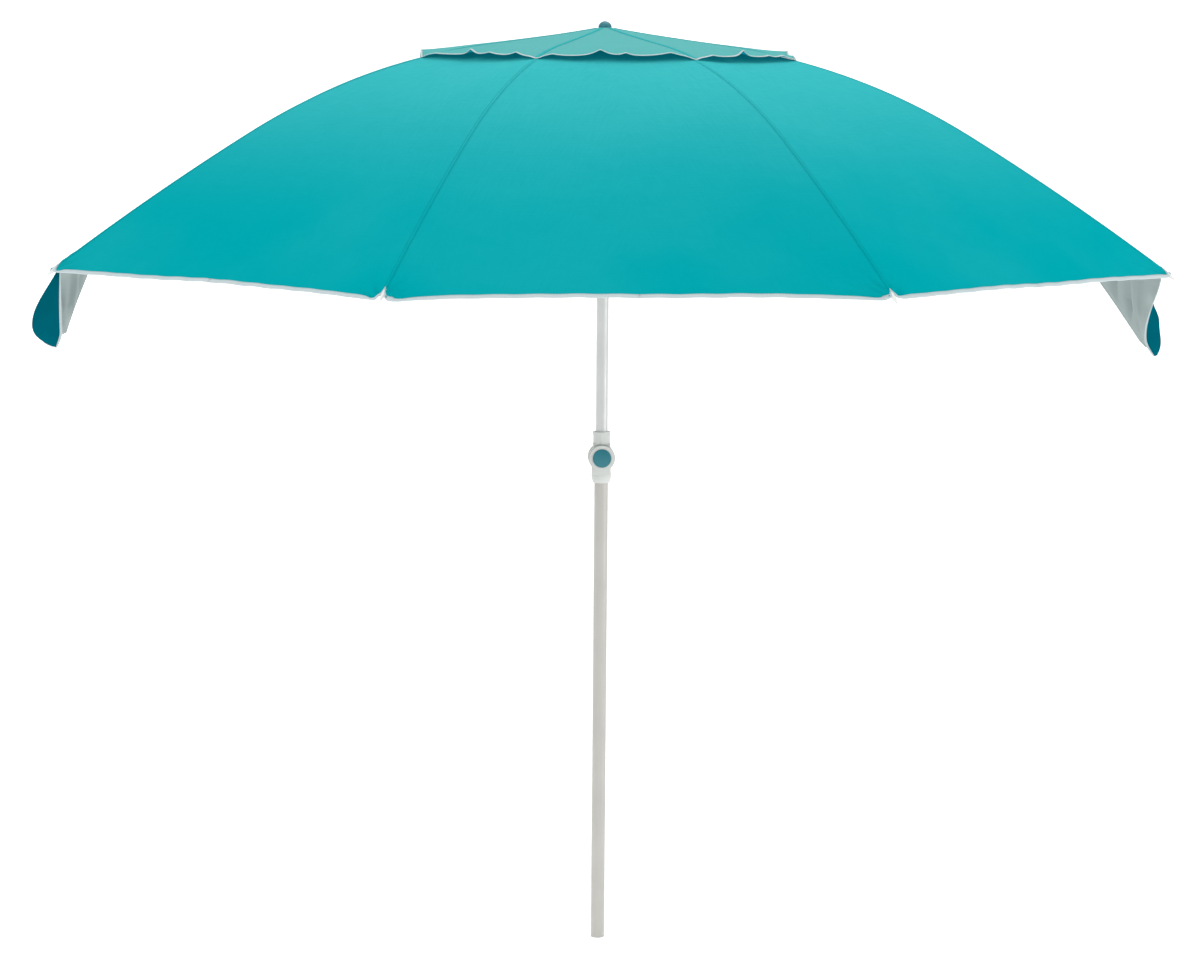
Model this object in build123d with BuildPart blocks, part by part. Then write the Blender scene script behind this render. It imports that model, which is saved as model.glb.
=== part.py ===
from build123d import *
from math import atan2, cos, degrees, hypot, radians, sin, tan
import os

# A tilting beach umbrella with eight ribs, a vented canopy and two hanging side flaps.
# Millimetres. +Z is up along the poles and the origin is the centre of the pole's foot.
# The tilt button faces -Y. A rib lies in a vertical plane through the pole, so each piece
# that a rib carries is drawn once in the XZ plane, as (distance from the pole, height).

os.makedirs("parts", exist_ok=True)

# ---------------------------------------------------------------- driving dimensions
rib_count = 8
rib_step = 360 / rib_count
half_step = rib_step / 2

# Running and seating gaps, measured on the radius or on one side
seat_gap = 0.05
running_gap = 0.08
slide_gap = 0.25
loose_gap = 0.3
cloth_gap = 0.5

# Poles
lower_pole_radius = 12.5
lower_pole_wall = 1.2
lower_pole_top = 868.0
lower_neck_step = 0.25
lower_neck_bare = 2.0
upper_pole_radius = 11.0
upper_pole_wall = 0.9
socket_depth = 21.0

# Tilt joint, on a cross axis along Y
cheek_radius = 24.0
cheek_root_inset = 1.5
cheek_root_lap = 3.0
cheek_thickness = 7.0
collar_radius = 23.0
collar_thickness = 3.0
drum_radius = 23.0
drum_half_width = 10.7
socket_wall = 5.0
socket_bulge = 0.4
socket_foot_taper = 2.5
socket_neck_taper = 1.0
socket_belly = 0.55
bridge_gap = 1.0
bridge_thickness = 1.0
upper_socket_wall = 4.3
upper_pole_rise = 2.0
lip_width = 0.7
lip_height = 5.0
axle_radius = 4.0
axle_head_radius = 8.0
axle_head_thickness = 2.5
axle_head_fillet = 1.5
axle_recess = 2.5
gear_radius = 14.0
gear_tooth_depth = 1.6
gear_teeth = 12
gear_tooth_share = 0.25
gear_thickness = 9.4
gear_clearance = 0.1
cavity_depth = 5.7
cavity_gap = 1.0
button_radius = 16.5
button_travel = 4.5
button_rim = 2.5
button_dome = 1.6
button_proud = 1.0
button_hole_extra = 0.5
button_stem_radius = 11.0
spring_wire_radius = 0.6
spring_radius = 7.0
spring_turns = 4
rivet_radius = 1.6
rivet_head_radius = 3.2
rivet_head_thickness = 1.0
rivet_tail = 1.0
lower_rivet_stand_off = 0.5
upper_rivet_stand_off = 0.05

# Hub and runner, which hold the inner ends of the ribs and of the stretchers on a ring of wire
hub_rise = 765.0
pin_circle = 20.0
ring_wire_radius = 1.0
collar_reach = 26.0
hub_teeth_below = 8.0
hub_teeth_above = 4.0
hub_sleeve_wall = 4.5
hub_sleeve_length = 24.0
hub_plate = 10.0
slot_play = 0.2
eye_play = 0.2
slot_end_gap = 0.6
runner_slot_extra = 1.0
runner_teeth_below = 9.0
runner_teeth_above = 6.0
runner_sleeve_wall = 4.2
runner_sleeve_length = 26.0

# Ribs and stretchers, of round rod with flattened, pierced ends
rod_radius = 2.25
blade_thickness = 3.0
blade_half_height = 3.2
blade_length = 16.0
rod_overlap = 4.0
rib_slope = 7.4
rib_straight = 215.0
rib_bend_radius = 1155.0
rib_bend_angle = 23.0
rib_outer_radius = 4900.0
rib_outer_angle = 4.75
rib_overhang = 12.0
joint_station = 351.0
joint_drop = 9.0
joint_pin_radius = 1.5
joint_ear = 2.0
joint_length = 14.0
joint_body = 1.3
joint_eye_wall = 1.2
joint_waist = 0.6
tip_length = 26.0
tip_wall = 1.3
tip_nose_radius = 1.9
tip_straight_share = 0.45

# Cloth, drawn thicker than it is woven
cloth_thickness = 0.6
vent_hole = 150.0
vent_radius = 355.0
vent_apex_rise = 9.0
vent_slope = 7.7
vent_eye = 8.0

# Side flaps
flap_drop = 150.0
flap_setback = 0.18
flap_corner_gap = 6.0
flap_hem_gap = 1.0
right_curl = 18.0
left_curl = 42.0
curl_lowest_share = 0.9

# Finial
finial_radius = 12.0
finial_height = 12.5
finial_skirt = 3.8
finial_stem_radius = 5.0

# Catch that holds the open runner up
catch_width = 6.0
catch_height = 30.0
catch_reach = 3.0
catch_leaf_thickness = 1.0
catch_leaf_overrun = 8.0
catch_leaf_setback = 1.8
catch_block_depth = 2.2
catch_block_setback = 1.0
catch_travel = 3.3

# How far a cutting shape runs past the face it cuts
overrun = 1.0

# ---------------------------------------------------------------- derived places
tilt_height = lower_pole_top + bridge_thickness + bridge_gap + drum_radius
hub_height = tilt_height + hub_rise
vent_apex = hub_height + vent_apex_rise
slot_width = blade_thickness + 2 * slot_play
ring_eye_radius = ring_wire_radius + eye_play
slot_floor = pin_circle - blade_half_height - slot_end_gap
button_face = -(drum_half_width + loose_gap + cheek_thickness + collar_thickness)
cheek_inner = drum_half_width + loose_gap
upper_pole_bottom = tilt_height + cheek_radius + upper_pole_rise
upper_socket_top = upper_pole_bottom + socket_depth
upper_pole_top = hub_height + hub_teeth_above - hub_plate
lower_socket_bottom = lower_pole_top - socket_depth


def export_node(shape, label):
    """Names a finished piece and writes it as one STEP file."""
    shape.label = label
    export_step(shape, f"parts/{label}.step")


def rib_angle(index):
    """Direction of a rib about the pole in degrees, with rib 1 just right of the front."""
    return -90 + half_step + rib_step * index


def export_around(shape, label):
    """Writes one turned copy of a piece for each rib."""
    for index in range(rib_count):
        export_node(shape.rotate(Axis.Z, rib_angle(index)), f"{label}_{index + 1}")


def rib_point(station, lift=0.0):
    """Point (distance from the pole, height) at a length along the rib, lifted off its centre line."""
    start = radians(rib_slope)
    bend_length = rib_bend_radius * radians(rib_bend_angle)
    along = min(station, rib_straight)
    x = pin_circle + along * cos(start)
    z = hub_height - along * sin(start)
    slope = start
    arcs = ((rib_bend_radius, bend_length), (rib_outer_radius, float("inf")))
    left = station - rib_straight
    for radius, length in arcs:
        if left <= 0:
            break
        after = slope + min(left, length) / radius
        x += radius * (sin(after) - sin(slope))
        z -= radius * (cos(slope) - cos(after))
        slope = after
        left -= length
    return x + lift * sin(slope), z + lift * cos(slope), slope


corner_station = (
    rib_straight
    + rib_bend_radius * radians(rib_bend_angle)
    + rib_outer_radius * radians(rib_outer_angle)
)
corner_x, corner_z, corner_slope = rib_point(corner_station, rod_radius + cloth_gap)

# The stretcher is as long as the rib's inner arm, and hub and runner share one pin circle, so the
# runner rises and falls straight along the pole as the ribs turn.
joint_x, joint_z, joint_slope = rib_point(joint_station, -joint_drop)
arm_length = hypot(joint_x - pin_circle, hub_height - joint_z)
arm_slope = atan2(hub_height - joint_z, joint_x - pin_circle)
runner_height = hub_height - 2 * arm_length * sin(arm_slope)
runner_bottom = runner_height - runner_teeth_below - runner_sleeve_length
catch_top = runner_bottom - loose_gap


# ---------------------------------------------------------------- poles
def rivet_hole(height, start, end):
    """Cuts a rivet hole along +Y at a height, from one distance behind the pole to another."""
    with BuildSketch(Plane.XZ.offset(-start)) as hole:
        with Locations((0, height)):
            Circle(rivet_radius + seat_gap)
    extrude(hole.sketch, amount=-(end - start), mode=Mode.SUBTRACT)


lower_rivet_height = lower_pole_top - socket_depth / 2
upper_rivet_height = upper_pole_bottom + socket_depth / 2

# The lower tube's end is sized down a little where it goes into its socket, and a short
# stretch of that neck shows below the socket.
lower_neck_radius = lower_pole_radius - lower_neck_step
lower_neck_bottom = lower_socket_bottom - lower_neck_bare

with BuildPart() as lower_pole:
    with BuildSketch():
        Circle(lower_pole_radius)
    extrude(amount=lower_neck_bottom)
    with BuildSketch(Plane.XY.offset(lower_neck_bottom)):
        Circle(lower_neck_radius)
    extrude(amount=lower_pole_top - lower_neck_bottom)
    with BuildSketch():
        Circle(lower_pole_radius - lower_pole_wall)
    extrude(amount=lower_pole_top, mode=Mode.SUBTRACT)
    rivet_hole(lower_rivet_height, 0, lower_pole_radius + overrun)
export_node(lower_pole.part, "lower_pole")

with BuildPart() as upper_pole:
    with BuildSketch(Plane.XY.offset(upper_pole_bottom)):
        Circle(upper_pole_radius)
        Circle(upper_pole_radius - upper_pole_wall, mode=Mode.SUBTRACT)
    extrude(amount=upper_pole_top - upper_pole_bottom)
    rivet_hole(upper_rivet_height, 0, upper_pole_radius + overrun)
    # window for the runner catch
    with BuildSketch(Plane.XZ):
        with Locations((0, catch_top - catch_height / 2)):
            Rectangle(catch_width + 2 * slide_gap, catch_height + 2 * slide_gap)
    extrude(amount=upper_pole_radius + overrun, mode=Mode.SUBTRACT)
export_node(upper_pole.part, "upper_pole")

# ---------------------------------------------------------------- tilt joint
lower_bore = lower_neck_radius + seat_gap
lower_outer = lower_pole_radius + seat_gap + socket_wall
bridge_top = tilt_height - drum_radius - bridge_gap
cheek_outer = cheek_inner + cheek_thickness


def gear_outline(growth):
    """Outline of the lock gear, grown by a gap: a round disc with square teeth."""
    Circle(gear_radius - gear_tooth_depth + growth)
    with PolarLocations(gear_radius - gear_tooth_depth, gear_teeth):
        Rectangle(2 * (gear_tooth_depth + growth), gear_radius * gear_tooth_share + 2 * growth)


with BuildPart() as lower_knuckle:
    # socket round the lower pole, fullest under the cheeks
    with BuildSketch(Plane.XZ):
        with BuildLine():
            socket_foot = Line(
                (0, lower_socket_bottom),
                (lower_outer - socket_foot_taper, lower_socket_bottom),
            )
            socket_side = ThreePointArc(
                socket_foot @ 1,
                (lower_outer + socket_bulge, lower_socket_bottom + socket_depth * socket_belly),
                (lower_outer - socket_neck_taper, bridge_top),
            )
            Polyline(socket_side @ 1, (0, bridge_top), (0, lower_socket_bottom))
        make_face()
    revolve(axis=Axis.Z)
    # two round cheeks and the cheeks' roots
    for side in (-1, 1):
        with BuildSketch(Plane.XZ.offset(-side * cheek_inner)):
            with Locations((0, tilt_height)):
                Circle(cheek_radius)
            with Locations((0, (tilt_height + bridge_top) / 2 - cheek_root_lap)):
                Rectangle(
                    2 * (lower_outer - cheek_root_inset),
                    tilt_height - bridge_top + 2 * cheek_root_lap,
                )
        extrude(amount=side * (cheek_inner - cheek_outer))
    # collar in front, round the button
    with BuildSketch(Plane.XZ.offset(-button_face - collar_thickness)):
        with Locations((0, tilt_height)):
            Circle(collar_radius)
    extrude(amount=collar_thickness)
    # bore for the lower pole
    with BuildSketch(Plane.XY.offset(lower_socket_bottom)):
        Circle(lower_bore)
    extrude(amount=socket_depth + seat_gap, mode=Mode.SUBTRACT)
    # button well, and the toothed hole behind it
    with BuildSketch(Plane.XZ.offset(-button_face)):
        with Locations((0, tilt_height)):
            Circle(button_radius + slide_gap)
    extrude(amount=-(button_travel + button_proud), mode=Mode.SUBTRACT)
    with BuildSketch(Plane.XZ.offset(cheek_inner - overrun)):
        with Locations((0, tilt_height)):
            gear_outline(slide_gap)
    extrude(amount=cheek_thickness + overrun, mode=Mode.SUBTRACT)
    # hole for the axle in the back cheek
    with BuildSketch(Plane.XZ.offset(-cheek_inner + overrun)):
        with Locations((0, tilt_height)):
            Circle(axle_radius + seat_gap)
    extrude(amount=-(cheek_thickness + 2 * overrun), mode=Mode.SUBTRACT)
    rivet_hole(lower_rivet_height, 0, lower_outer + overrun)
export_node(lower_knuckle.part, "lower_knuckle")

upper_bore = upper_pole_radius + seat_gap
upper_outer = upper_bore + upper_socket_wall
cavity_floor = drum_half_width - cavity_depth

with BuildPart() as upper_knuckle:
    with BuildSketch(Plane.XZ.offset(-drum_half_width)):
        with Locations((0, tilt_height)):
            Circle(drum_radius)
        with Locations((0, (tilt_height + upper_pole_bottom) / 2)):
            Rectangle(2 * upper_outer, upper_pole_bottom - tilt_height)
    extrude(amount=2 * drum_half_width)
    upper_socket_bottom = tilt_height + cheek_radius + 2 * loose_gap
    with BuildSketch(Plane.XY.offset(upper_socket_bottom)):
        Circle(upper_outer)
    extrude(amount=upper_socket_top - upper_socket_bottom)
    with BuildSketch(Plane.XY.offset(upper_socket_top - lip_height)):
        Circle(upper_outer + lip_width)
    extrude(amount=lip_height)
    with BuildSketch(Plane.XY.offset(upper_pole_bottom - seat_gap)):
        Circle(upper_bore)
    extrude(amount=socket_depth + overrun, mode=Mode.SUBTRACT)
    # cavity for the lock gear and its spring, open to the front
    with BuildSketch(Plane.XZ.offset(-cavity_floor)):
        with Locations((0, tilt_height)):
            Circle(gear_radius + cavity_gap)
    extrude(amount=cavity_floor + drum_half_width + overrun, mode=Mode.SUBTRACT)
    with BuildSketch(Plane.XZ.offset(-drum_half_width - overrun)):
        with Locations((0, tilt_height)):
            Circle(axle_radius + running_gap)
    extrude(amount=drum_half_width + overrun, mode=Mode.SUBTRACT)
    rivet_hole(upper_rivet_height, 0, upper_outer + overrun)
export_node(upper_knuckle.part, "upper_knuckle")

axle_front = button_face + button_travel + axle_recess
axle_back = cheek_outer

with BuildPart() as tilt_axle:
    with BuildSketch(Plane.XZ.offset(-axle_front)):
        with Locations((0, tilt_height)):
            Circle(axle_radius)
    extrude(amount=-(axle_back - axle_front))
    with BuildSketch(Plane.XZ.offset(-axle_back)):
        with Locations((0, tilt_height)):
            Circle(axle_head_radius)
    extrude(amount=-axle_head_thickness)
    fillet(tilt_axle.edges().group_by(Axis.Y)[-1], axle_head_fillet)
export_node(tilt_axle.part, "tilt_axle")

gear_front = button_face + button_travel + button_proud + gear_clearance

with BuildPart() as tilt_lock_gear:
    with BuildSketch(Plane.XZ.offset(-gear_front)):
        with Locations((0, tilt_height)):
            gear_outline(0)
            Circle(axle_radius + running_gap, mode=Mode.SUBTRACT)
    extrude(amount=-gear_thickness)
export_node(tilt_lock_gear.part, "tilt_lock_gear")

with BuildPart() as tilt_button:
    # rim proud of the well's floor by the travel, stem down to the gear
    with BuildSketch(Plane.XY):
        with BuildLine():
            rim_back = button_face + button_proud - seat_gap
            rim_front = rim_back - button_rim
            Polyline(
                (0, rim_front - button_dome),
                (0, gear_front - seat_gap),
                (button_stem_radius, gear_front - seat_gap),
                (button_stem_radius, rim_back),
                (button_radius, rim_back),
                (button_radius, rim_front),
            )
            TangentArc((0, rim_front - button_dome), (button_radius, rim_front), tangent=(1, 0))
        make_face()
    revolve(axis=Axis.Y)
    with BuildSketch(Plane.XZ.offset(-gear_front)):
        Circle(axle_radius + loose_gap)
    extrude(amount=button_travel + button_hole_extra, mode=Mode.SUBTRACT)
export_node(Pos(0, 0, tilt_height) * tilt_button.part, "tilt_button")

spring_front = gear_front + gear_thickness + spring_wire_radius + seat_gap
spring_back = cavity_floor - spring_wire_radius - seat_gap

with BuildPart() as tilt_spring:
    with BuildLine() as spring_path:
        Helix(
            pitch=(spring_back - spring_front) / spring_turns,
            height=spring_back - spring_front,
            radius=spring_radius,
            center=(0, spring_front, 0),
            direction=(0, 1, 0),
        )
    with BuildSketch(Plane(spring_path.line @ 0, z_dir=spring_path.line % 0)):
        Circle(spring_wire_radius)
    sweep(is_frenet=True)
export_node(Pos(0, 0, tilt_height) * tilt_spring.part, "tilt_spring")


def socket_rivet(height, inner, outer):
    """A blind rivet through a pole's wall and the socket round it, with its head behind."""
    with BuildPart() as rivet:
        with BuildSketch(Plane.XZ.offset(-inner)):
            with Locations((0, height)):
                Circle(rivet_radius)
        extrude(amount=-(outer - inner))
        with BuildSketch(Plane.XZ.offset(-outer)):
            with Locations((0, height)):
                Circle(rivet_head_radius)
        extrude(amount=-rivet_head_thickness)
    return rivet.part


lower_rivet = socket_rivet(
    lower_rivet_height,
    lower_pole_radius - lower_pole_wall - rivet_tail,
    lower_outer + lower_rivet_stand_off,
)
export_node(lower_rivet, "lower_socket_rivet")
upper_rivet = socket_rivet(
    upper_rivet_height,
    upper_pole_radius - upper_pole_wall - rivet_tail,
    upper_outer + upper_rivet_stand_off,
)
export_node(upper_rivet, "upper_socket_rivet")


# ---------------------------------------------------------------- hub, runner and their ring wires
def ring_wire(height):
    """The ring of wire that the pierced ends hang on."""
    with BuildPart() as wire:
        with BuildSketch(Plane.XZ):
            with Locations((pin_circle, height)):
                Circle(ring_wire_radius)
        revolve(axis=Axis.Z)
    return wire.part


def slotted_collar(height, below, above, floor_drop):
    """A flange round the pole with one radial slot for each rib and a tunnel for the ring wire."""
    with BuildSketch(Plane.XY.offset(height - below)) as flange:
        Circle(collar_reach)
    extrude(flange.sketch, amount=below + above)
    with BuildSketch(Plane.XY.offset(height - floor_drop)) as slots:
        with PolarLocations((slot_floor + collar_reach + overrun) / 2, rib_count, start_angle=half_step):
            Rectangle(collar_reach + overrun - slot_floor, slot_width)
    extrude(slots.sketch, amount=floor_drop + above, mode=Mode.SUBTRACT)
    with BuildSketch(Plane.XZ) as tunnel:
        with Locations((pin_circle, height)):
            Circle(ring_wire_radius + seat_gap)
    revolve(tunnel.sketch, axis=Axis.Z, mode=Mode.SUBTRACT)


with BuildPart() as top_hub:
    with BuildSketch(Plane.XY.offset(hub_height - hub_teeth_below - hub_sleeve_length)):
        Circle(upper_bore + hub_sleeve_wall)
    extrude(amount=hub_sleeve_length + overrun)
    slotted_collar(hub_height, hub_teeth_below, hub_teeth_above, hub_teeth_below)
    with BuildSketch(Plane.XY.offset(hub_height - hub_teeth_below - hub_sleeve_length)):
        Circle(upper_bore)
    extrude(
        amount=upper_pole_top + seat_gap - hub_height + hub_teeth_below + hub_sleeve_length,
        mode=Mode.SUBTRACT,
    )
    with BuildSketch(Plane.XY.offset(hub_height + hub_teeth_above)):
        Circle(finial_stem_radius + seat_gap)
    extrude(amount=-hub_plate, mode=Mode.SUBTRACT)
export_node(top_hub.part, "top_hub")
export_node(ring_wire(hub_height), "hub_ring_wire")

with BuildPart() as runner:
    with BuildSketch(Plane.XY.offset(runner_bottom)):
        Circle(upper_pole_radius + slide_gap + runner_sleeve_wall)
    extrude(amount=runner_sleeve_length + overrun)
    runner_slot_drop = blade_half_height + runner_slot_extra
    slotted_collar(runner_height, runner_teeth_below, runner_teeth_above, runner_slot_drop)
    with BuildSketch(Plane.XY.offset(runner_bottom)):
        Circle(upper_pole_radius + slide_gap)
    extrude(amount=runner_sleeve_length + runner_teeth_below + runner_teeth_above, mode=Mode.SUBTRACT)
export_node(runner.part, "runner")
export_node(ring_wire(runner_height), "runner_ring_wire")

with BuildPart() as runner_catch:
    # wedge through the pole's window, with a leaf inside the pole behind it
    leaf_face = -(upper_pole_radius - upper_pole_wall - slide_gap)
    with BuildSketch(Plane.YZ.offset(-catch_width / 2)):
        with BuildLine():
            Polyline(
                (leaf_face, catch_top - catch_height),
                (-upper_pole_radius, catch_top - catch_height),
                (-upper_pole_radius - catch_reach, catch_top),
                (leaf_face, catch_top),
                close=True,
            )
        make_face()
    extrude(amount=catch_width)
    with BuildSketch(Plane.YZ.offset(-catch_width / 4)):
        with Locations((leaf_face + catch_leaf_setback, catch_top - catch_height / 2)):
            Rectangle(catch_leaf_thickness, catch_height + 2 * catch_leaf_overrun)
        with Locations((leaf_face + catch_block_setback, catch_top - catch_height / 2)):
            Rectangle(catch_block_depth, catch_height / 2)
    extrude(amount=catch_width / 2)
export_node(runner_catch.part, "runner_catch")

with BuildPart() as finial:
    vent_top = vent_apex - vent_eye * tan(radians(vent_slope)) + loose_gap
    stem_foot = upper_pole_top + loose_gap
    with BuildSketch(Plane.XZ):
        with BuildLine():
            Polyline(
                (0, vent_top + finial_height),
                (0, stem_foot),
                (finial_stem_radius, stem_foot),
                (finial_stem_radius, vent_top),
                (finial_radius, vent_top),
                (finial_radius, vent_top + finial_skirt),
            )
            TangentArc(
                (0, vent_top + finial_height),
                (finial_radius, vent_top + finial_skirt),
                tangent=(1, 0),
            )
        make_face()
    revolve(axis=Axis.Z)
export_node(finial.part, "finial")


# ---------------------------------------------------------------- ribs and stretchers
def flat_end(origin, direction, eye_radius):
    """Adds the flattened, round-nosed end of a rod, pierced at the origin."""
    plane = Plane(origin, x_dir=direction, z_dir=(0, -1, 0))
    with BuildSketch(plane.offset(-blade_thickness / 2)) as blade:
        Circle(blade_half_height)
        with Locations((blade_length / 2, 0)):
            Rectangle(blade_length, 2 * blade_half_height)
        Circle(eye_radius, mode=Mode.SUBTRACT)
    extrude(blade.sketch, amount=blade_thickness)


with BuildPart() as rib:
    with BuildLine(Plane.XZ) as rib_line:
        rib_inner = PolarLine(
            (
                pin_circle + (blade_length - rod_overlap) * cos(radians(rib_slope)),
                hub_height - (blade_length - rod_overlap) * sin(radians(rib_slope)),
            ),
            rib_straight - blade_length + rod_overlap,
            angle=-rib_slope,
        )
        rib_bend = JernArc(rib_inner @ 1, rib_inner % 1, rib_bend_radius, -rib_bend_angle)
        rib_outer = JernArc(
            rib_bend @ 1,
            rib_bend % 1,
            rib_outer_radius,
            -(rib_outer_angle + degrees(rib_overhang / rib_outer_radius)),
        )
    with BuildSketch(Plane(rib_inner @ 0, z_dir=rib_inner % 0)):
        Circle(rod_radius)
    sweep()
    flat_end(
        (pin_circle, 0, hub_height),
        (cos(radians(rib_slope)), 0, -sin(radians(rib_slope))),
        ring_eye_radius,
    )
export_around(rib.part, "rib")

stretcher_direction = (-cos(arm_slope), 0, -sin(arm_slope))
with BuildPart() as stretcher:
    with BuildSketch(
        Plane(
            (
                joint_x + (blade_length - rod_overlap) * stretcher_direction[0],
                0,
                joint_z + (blade_length - rod_overlap) * stretcher_direction[2],
            ),
            z_dir=stretcher_direction,
        )
    ):
        Circle(rod_radius)
    extrude(amount=arm_length - 2 * (blade_length - rod_overlap))
    flat_end((joint_x, 0, joint_z), stretcher_direction, joint_pin_radius + running_gap)
    flat_end(
        (pin_circle, 0, runner_height),
        (cos(arm_slope), 0, sin(arm_slope)),
        ring_eye_radius,
    )
export_around(stretcher.part, "stretcher")

# Joint clip: a saddle under the rib with two ears, bridged by the pin that the stretcher turns on.
clip_half_width = slot_width / 2 + joint_ear
joint_rod_x, joint_rod_z, _ = rib_point(joint_station)
clip_plane = Plane(
    (joint_x, 0, joint_z),
    x_dir=(cos(joint_slope), 0, -sin(joint_slope)),
    z_dir=(0, -1, 0),
)
with BuildPart() as rib_joint:
    with BuildSketch(clip_plane.offset(-clip_half_width)):
        Circle(joint_body + joint_pin_radius + joint_eye_wall)
        with Locations((0, joint_drop / 2)):
            Rectangle(joint_length * joint_waist, joint_drop - overrun)
        with Locations((0, joint_drop - rod_radius / 2)):
            Rectangle(joint_length, rod_radius + 2 * joint_body)
    extrude(amount=2 * clip_half_width)
    # slot for the stretcher's flat end
    with BuildSketch(clip_plane.offset(-slot_width / 2)):
        with Locations((0, (joint_drop - rod_radius - joint_body) / 2 - joint_drop / 2)):
            Rectangle(joint_length * 2, 2 * joint_drop - rod_radius - joint_body)
    extrude(amount=slot_width, mode=Mode.SUBTRACT)
    # groove for the rib
    with BuildSketch(Plane((joint_rod_x, 0, joint_rod_z), z_dir=clip_plane.x_dir)):
        Circle(rod_radius + seat_gap)
    extrude(amount=joint_length, both=True, mode=Mode.SUBTRACT)
    # pivot pin
    with BuildSketch(clip_plane.offset(-clip_half_width)):
        Circle(joint_pin_radius)
    extrude(amount=2 * clip_half_width)
export_around(rib_joint.part, "rib_joint")

# Rib tip: a plastic cap on the rod's end, just outside the cloth's corner.
cap_x, cap_z, cap_slope = rib_point(corner_station + loose_gap)
cap_plane = Plane(
    (cap_x, 0, cap_z),
    x_dir=(cos(cap_slope), 0, -sin(cap_slope)),
    z_dir=(0, -1, 0),
)
tip_radius = rod_radius + tip_wall
with BuildPart() as rib_tip:
    with BuildSketch(cap_plane):
        with BuildLine():
            Polyline(
                (0, 0),
                (0, tip_radius),
                (tip_length * tip_straight_share, tip_radius),
                (tip_length - tip_nose_radius, tip_nose_radius),
            )
            JernArc(
                (tip_length - tip_nose_radius, tip_nose_radius), (1, 0), tip_nose_radius, -90
            )
            Line((tip_length, 0), (0, 0))
        make_face()
    revolve(axis=Axis(cap_plane.origin, cap_plane.x_dir))
    with BuildSketch(Plane(cap_plane.origin, z_dir=cap_plane.x_dir)):
        Circle(rod_radius + seat_gap)
    extrude(amount=rib_overhang, mode=Mode.SUBTRACT)
export_around(rib_tip.part, "rib_tip")


# ---------------------------------------------------------------- canopy
def ridge_lift(slope):
    """Height of the cloth's inner ridge over a rib's centre line, so that the flat gores clear the rod."""
    tilt = sin(radians(half_step)) * sin(slope)
    return (rod_radius + cloth_gap) / cos(tilt)


def gore_profile(start, end, count=12):
    """Inner and outer edge of the cloth at a rib, from one length along it to another."""
    inner = []
    outer = []
    for index in range(count + 1):
        station = start + (end - start) * index / count
        slope = rib_point(station)[2]
        lift = ridge_lift(slope)
        inner.append(rib_point(station, lift)[:2])
        outer.append(rib_point(station, lift + cloth_thickness)[:2])
    return inner, outer


vent_start = (vent_hole - pin_circle) / cos(radians(rib_slope))
gore_inner, gore_outer = gore_profile(vent_start, corner_station)
gore_shrink = cos(radians(half_step))

panel_reach = 2 * corner_x


def half_gore(side):
    """Half of one gore, from the plane of its rib to the plane midway to the next rib."""
    across = (cos(radians(half_step)), side * sin(radians(half_step)), 0)
    middle = Plane((0, 0, 0), x_dir=across, z_dir=(across[1], -across[0], 0))
    edge = loose_gap / sin(radians(half_step))
    far_side = side * (panel_reach - edge) * tan(radians(half_step))
    with BuildPart() as half:
        with BuildSketch(middle):
            with BuildLine():
                low = Spline(*[(x * gore_shrink, z) for x, z in gore_inner])
                high = Spline(*[(x * gore_shrink, z) for x, z in gore_outer])
                Line(low @ 0, high @ 0)
                Line(low @ 1, high @ 1)
            make_face()
        extrude(amount=corner_x, both=True)
        with BuildSketch(Plane.XY):
            with BuildLine():
                Polyline((edge, 0), (panel_reach, 0), (panel_reach, far_side), close=True)
            make_face()
        extrude(amount=vent_apex, mode=Mode.INTERSECT)
    return half.part


# A gore is flat across, so its section in the plane midway between two ribs is the rib's own line
# drawn in towards the pole. One panel is the two half gores that meet over a rib.
export_around(half_gore(-1) + half_gore(1), "canopy_panel")

# The vent is a shallow eight-sided cone over the canopy's central hole.
with BuildPart() as vent_canopy:
    for drop, mode in ((0, Mode.ADD), (cloth_thickness, Mode.SUBTRACT)):
        for radius in (vent_eye, vent_radius):
            with BuildSketch(Plane.XY.offset(vent_apex - radius * tan(radians(vent_slope)) - drop)):
                RegularPolygon(radius, rib_count, rotation=half_step)
        loft(mode=mode)
    with BuildSketch(Plane.XY.offset(vent_apex)):
        Circle(vent_eye)
    extrude(amount=-finial_height, mode=Mode.SUBTRACT)
export_node(vent_canopy.part, "vent_canopy")

# ---------------------------------------------------------------- side flaps
hem_x = gore_inner[-1][0] * gore_shrink
hem_half = gore_inner[-1][0] * sin(radians(half_step))
hem_z = gore_inner[-1][1]


def side_flap(curl):
    """A three-cornered flap hung from the +X hem, with the strip at its front edge turned outward."""
    top = hem_z - flap_hem_gap
    front = -hem_half + flap_corner_gap
    low = -hem_half + 2 * hem_half * flap_setback
    with BuildPart() as flap:
        with BuildSketch(Plane.YZ.offset(hem_x - cloth_thickness)):
            with BuildLine():
                Polyline(
                    (front, top),
                    (hem_half - flap_corner_gap, top),
                    (low, top - flap_drop),
                    close=True,
                )
            make_face()
        extrude(amount=cloth_thickness)
        lean = atan2(low - front, flap_drop)
        strip = Plane(
            (hem_x, front, top),
            x_dir=(1, 0, 0),
            z_dir=(0, -cos(lean), -sin(lean)),
        )
        with BuildSketch(strip):
            with BuildLine():
                edge = -flap_drop / cos(lean)
                Polyline(
                    (-cloth_thickness / 2, 0),
                    (-cloth_thickness / 2, edge),
                    (curl, edge * curl_lowest_share),
                    close=True,
                )
            make_face()
        extrude(amount=-cloth_thickness)
    return flap.part


export_node(side_flap(right_curl), "flap_right")
export_node(mirror(side_flap(left_curl), about=Plane.YZ), "flap_left")

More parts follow.
